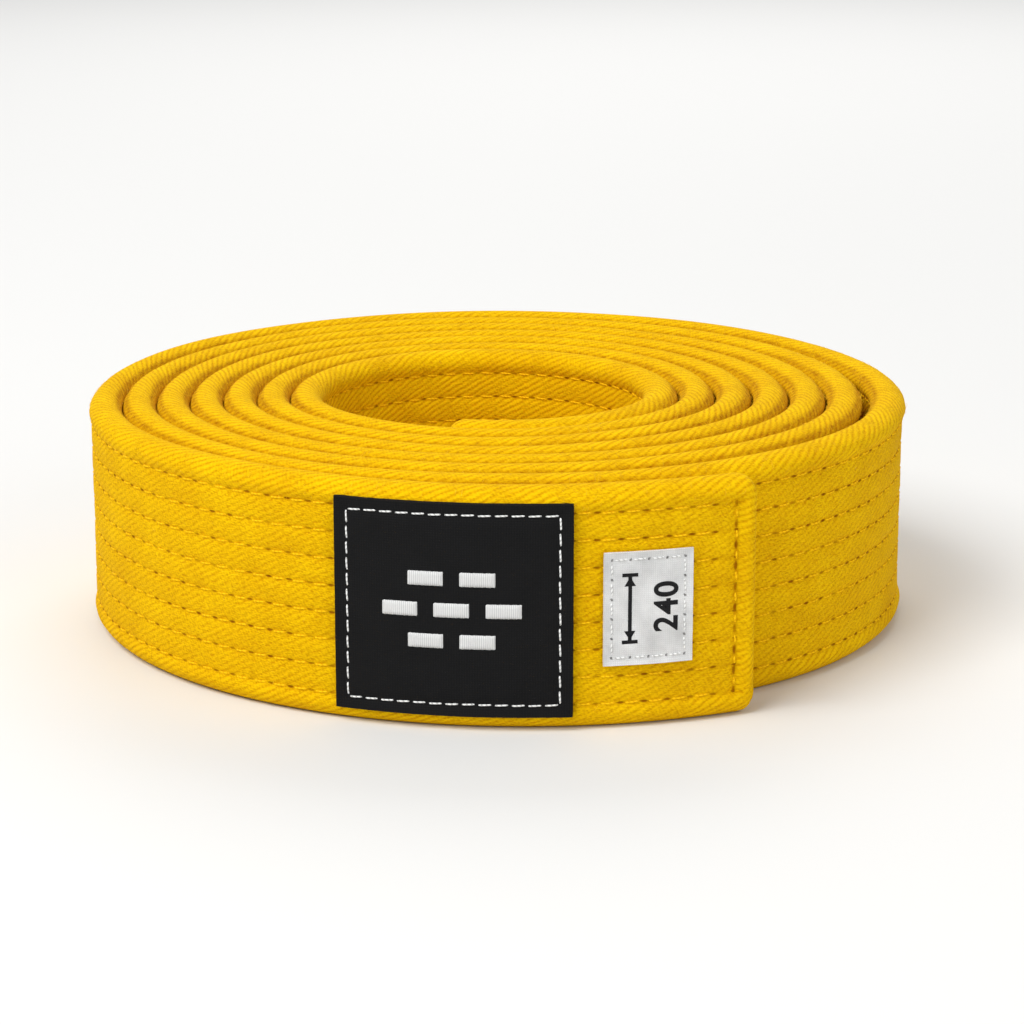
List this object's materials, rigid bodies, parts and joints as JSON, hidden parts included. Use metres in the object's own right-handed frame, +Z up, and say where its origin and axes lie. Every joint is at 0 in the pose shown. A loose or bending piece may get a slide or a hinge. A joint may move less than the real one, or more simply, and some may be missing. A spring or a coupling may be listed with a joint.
{
  "type": "martial arts belt",
  "caption": "Rolled cotton martial arts belt on its long edge, with rows of stitching, a sewn patch and size label, and two free ends that lift off the roll.",
  "frame": {"origin": "on the floor under the middle of the roll's box", "axes": "+Z up along the roll's axis, -Y towards the free end with the patch, +X to the right seen from there"},
  "size_m": [0.1536, 0.1584, 0.042],
  "materials": {
    "belt_twill": "yellow cotton twill, matt, with a diagonal rib",
    "core_cotton": "natural unbleached cotton, matt",
    "belt_thread": "yellow spun polyester thread, slight sheen",
    "patch_weave": "black damask weave, matt",
    "white_thread": "white polyester thread, slight sheen",
    "label_tape": "white woven satin tape"
  },
  "bodies": {
    "coil": {"core_ply_1_coil": "core_cotton", "core_ply_2_coil": "core_cotton", "core_ply_3_coil": "core_cotton", "cover_coil": "belt_twill", "stitch_row_1_coil": "belt_thread", "stitch_row_2_coil": "belt_thread", "stitch_row_3_coil": "belt_thread", "stitch_row_4_coil": "belt_thread", "stitch_row_5_coil": "belt_thread", "stitch_row_6_coil": "belt_thread", "stitch_row_7_coil": "belt_thread", "stitch_row_8_coil": "belt_thread"},
    "outer_end": {"core_ply_1_outer_end": "core_cotton", "core_ply_2_outer_end": "core_cotton", "core_ply_3_outer_end": "core_cotton", "cover_outer_end": "belt_twill", "cross_stitch_outer_end": "belt_thread", "label_border_stitch": "white_thread", "patch": "patch_weave", "patch_bar_1": "white_thread", "patch_bar_2": "white_thread", "patch_bar_3": "white_thread", "patch_bar_4": "white_thread", "patch_bar_5": "white_thread", "patch_bar_6": "white_thread", "patch_bar_7": "white_thread", "patch_border_stitch": "white_thread", "size_label": "label_tape", "stitch_row_1_outer_end": "belt_thread", "stitch_row_2_outer_end": "belt_thread", "stitch_row_3_outer_end": "belt_thread", "stitch_row_4_outer_end": "belt_thread", "stitch_row_5_outer_end": "belt_thread", "stitch_row_6_outer_end": "belt_thread", "stitch_row_7_outer_end": "belt_thread", "stitch_row_8_outer_end": "belt_thread"},
    "inner_end": {"core_ply_1_inner_end": "core_cotton", "core_ply_2_inner_end": "core_cotton", "core_ply_3_inner_end": "core_cotton", "cover_inner_end": "belt_twill", "cross_stitch_inner_end": "belt_thread", "stitch_row_1_inner_end": "belt_thread", "stitch_row_2_inner_end": "belt_thread", "stitch_row_3_inner_end": "belt_thread", "stitch_row_4_inner_end": "belt_thread", "stitch_row_5_inner_end": "belt_thread", "stitch_row_6_inner_end": "belt_thread", "stitch_row_7_inner_end": "belt_thread", "stitch_row_8_inner_end": "belt_thread"}
  },
  "joints": [
    {"name": "outer_end_lift", "type": "hinge", "parent": "coil", "child": "outer_end", "pos_m": [-0.04515, -0.05964, 0.021], "axis": [0, 0, -1], "range_deg": [0, 45]},
    {"name": "inner_end_lift", "type": "hinge", "parent": "coil", "child": "inner_end", "pos_m": [0.02088, -0.01486, 0.021], "axis": [0, 0, -1], "range_deg": [0, 20]}
  ]
}
